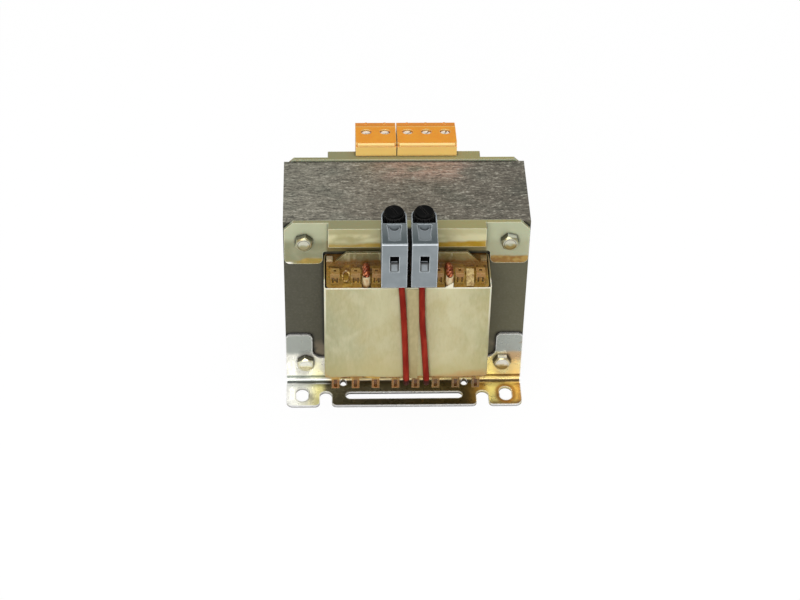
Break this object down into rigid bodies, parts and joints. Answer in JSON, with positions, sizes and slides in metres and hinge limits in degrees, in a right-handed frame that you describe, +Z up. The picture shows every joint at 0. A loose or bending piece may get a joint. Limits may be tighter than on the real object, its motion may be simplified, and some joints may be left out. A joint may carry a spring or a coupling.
{
  "type": "laminated chassis transformer",
  "caption": "Laminated-core chassis transformer on folded sheet feet, with a wrapped coil on a moulded bobbin, fused input terminals in front and a screw terminal row behind.",
  "frame": {"origin": "centre of the laminated core in plan, in the plane of the underside of the feet", "axes": "+Z up along the core legs, +X along the core width, +Y through the stack towards the screw terminal row; the fuse terminals face -Y"},
  "size_m": [0.12, 0.1037, 0.1211],
  "materials": {
    "core_steel": "varnished sheet edges",
    "bobbin_resin": "moulded, varnished, slightly translucent",
    "enamelled_copper": "enamelled round wire",
    "insulation_paper": "pressed paper and film",
    "wrap_film": "varnished fibre wrap",
    "seam_tape": "thin adhesive tape",
    "carrier_resin": "moulded, slightly translucent, with varnish stains",
    "yellow_zinc": "yellow passivated zinc on pressed sheet",
    "bolt_zinc": "zinc plated",
    "block_orange": "moulded",
    "nickel": "nickel plated",
    "fuse_grey": "moulded",
    "cap_black": "moulded, knurled",
    "fuse_glass": "glass tube with plated ends",
    "contact_brass": "plain",
    "lead_red": "soft insulation"
  },
  "bodies": {
    "root": {"core_e_laminations": "core_steel", "core_i_laminations": "core_steel", "bobbin": "bobbin_resin", "primary_winding": "enamelled_copper", "interlayer_insulation": "insulation_paper", "secondary_winding": "enamelled_copper", "outer_wrap": "wrap_film", "wrap_tape": "seam_tape", "front_terminal_carrier": "carrier_resin", "rear_terminal_carrier": "carrier_resin", "front_mounting_bracket": "yellow_zinc", "rear_mounting_bracket": "yellow_zinc", "clamp_bolts": "bolt_zinc", "bolt_sleeves": "insulation_paper", "nut_washers": "bolt_zinc", "clamp_nuts": "bolt_zinc", "terminal_block_2_pole": "block_orange", "terminal_block_3_pole": "block_orange", "terminal_screws": "nickel", "terminal_clamps": "nickel", "fuse_terminal_left": "fuse_grey", "fuse_terminal_right": "fuse_grey", "fuse_cap_left": "cap_black", "fuse_cap_right": "cap_black", "fuse_left": "fuse_glass", "fuse_right": "fuse_glass", "fuse_contacts": "contact_brass", "fuse_wire_clamps": "nickel", "fuse_wire_screws": "nickel", "red_lead_left": "lead_red", "red_lead_right": "lead_red", "copper_lead_out_left": "enamelled_copper", "copper_lead_out_right": "enamelled_copper", "lead_sleeves": "insulation_paper", "insulation_strip": "insulation_paper"}
  },
  "joints": []
}
